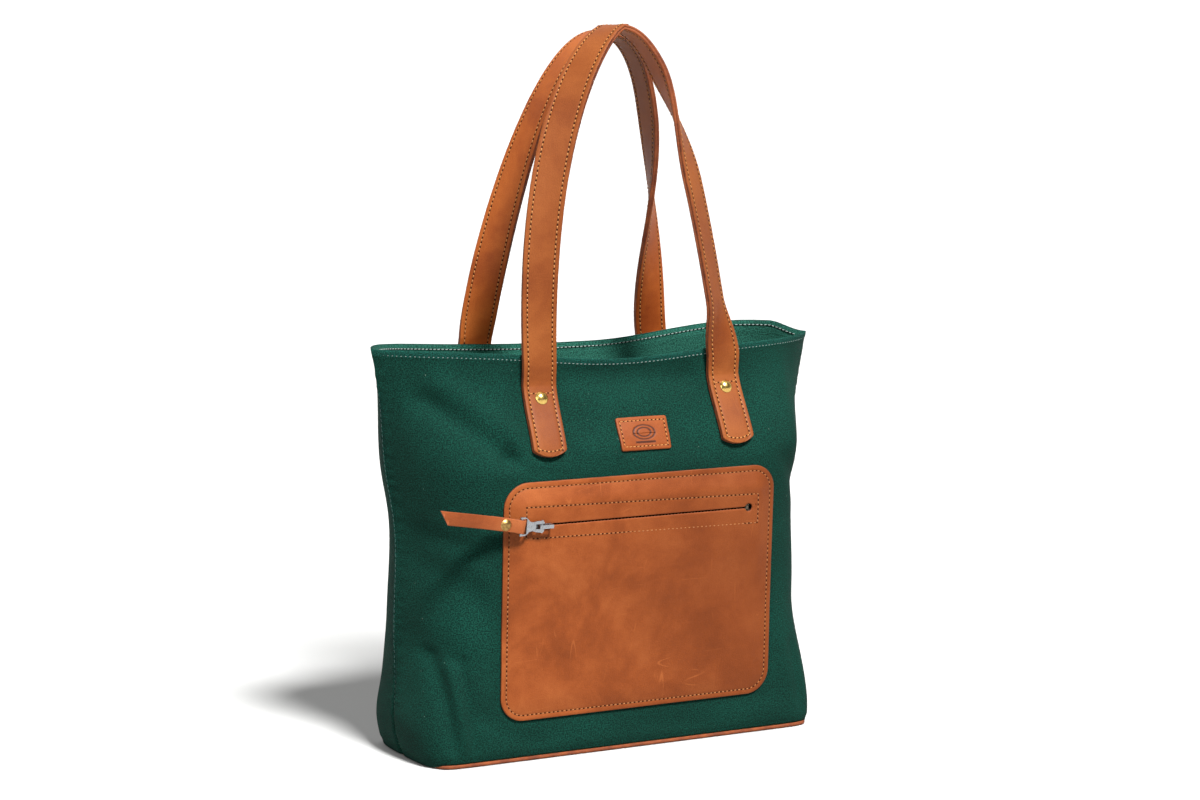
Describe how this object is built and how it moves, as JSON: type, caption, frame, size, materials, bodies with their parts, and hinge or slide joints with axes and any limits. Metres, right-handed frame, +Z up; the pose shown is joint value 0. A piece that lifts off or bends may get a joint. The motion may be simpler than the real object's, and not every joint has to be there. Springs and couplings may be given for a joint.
{
  "type": "tote bag",
  "caption": "Open-topped canvas tote bag with folding leather strap handles, a zipped leather patch pocket on the front and a leather base.",
  "frame": {"origin": "centre of the base's underside, on the floor", "axes": "+Z up, -Y towards the front (the side with the pocket), +X to the right seen from the front"},
  "size_m": [0.3952, 0.1549, 0.5748],
  "materials": {
    "canvas": "dark green cotton canvas, plain weave",
    "facing_canvas": "the same canvas, sewn inside",
    "strap_leather": "tan pull-up leather, waxed, with scuffs",
    "pocket_leather": "tan pull-up leather with cloudy marks and scratches",
    "base_leather": "tan pull-up leather",
    "label_leather": "tan leather, stitched round the edge",
    "tab_leather": "thick tan leather strip with raw edges",
    "board": "dark stiffening board",
    "zip_tape": "dark woven tape",
    "zip_teeth": "dull metal",
    "nickel": "polished nickel",
    "brass": "polished brass",
    "tab_brass": "antique brass"
  },
  "bodies": {
    "bag": {"front_panel": "canvas", "rear_panel": "canvas", "front_facing": "facing_canvas", "rear_facing": "facing_canvas", "left_seam_binding": "facing_canvas", "right_seam_binding": "facing_canvas", "base_panel": "base_leather", "base_board": "board", "label_patch": "label_leather", "pocket_panel": "pocket_leather", "zip_tape_upper": "zip_tape", "zip_tape_lower": "zip_tape", "zip_teeth_upper": "zip_teeth", "zip_teeth_lower": "zip_teeth", "zip_top_stops": "zip_teeth", "zip_bottom_stop": "zip_teeth", "front_left_end_outer": "strap_leather", "front_left_end_inner": "strap_leather", "front_right_end_outer": "strap_leather", "front_right_end_inner": "strap_leather", "front_left_rivet_cap": "brass", "front_left_rivet_base": "brass", "front_right_rivet_cap": "brass", "front_right_rivet_base": "brass", "rear_left_end_outer": "strap_leather", "rear_left_end_inner": "strap_leather", "rear_right_end_outer": "strap_leather", "rear_right_end_inner": "strap_leather", "rear_left_rivet_cap": "brass", "rear_left_rivet_base": "brass", "rear_right_rivet_cap": "brass", "rear_right_rivet_base": "brass"},
    "front_handle": {"front_handle_outer": "strap_leather", "front_handle_inner": "strap_leather"},
    "rear_handle": {"rear_handle_outer": "strap_leather", "rear_handle_inner": "strap_leather"},
    "slider": {"zip_slider": "nickel"},
    "puller": {"zip_puller": "nickel"},
    "tab": {"pull_tab": "tab_leather", "pull_tab_rivet_cap": "tab_brass", "pull_tab_rivet_base": "tab_brass"}
  },
  "joints": [
    {"name": "front_handle_fold", "type": "hinge", "parent": "bag", "child": "front_handle", "pos_m": [0, -0.05303, 0.29565], "axis": [1, 0, 0], "range_deg": [0, 150]},
    {"name": "rear_handle_fold", "type": "hinge", "parent": "bag", "child": "rear_handle", "pos_m": [0, 0.06973, 0.29565], "axis": [-1, 0, 0], "range_deg": [0, 150]},
    {"name": "zip_slide", "type": "slide", "parent": "bag", "child": "slider", "axis": [1, 0, 0], "range_m": [0, 0.172]},
    {"name": "puller_flip", "type": "hinge", "parent": "slider", "child": "puller", "pos_m": [-0.0902, -0.08033, 0.18917], "axis": [0.0698, -0.0548, 0.9961], "range_deg": [0, 120]},
    {"name": "pull_tab_swing", "type": "hinge", "parent": "puller", "child": "tab", "pos_m": [-0.10796, -0.08039, 0.19041], "axis": [0.0698, -0.0548, 0.9961], "range_deg": [0, 60]}
  ]
}
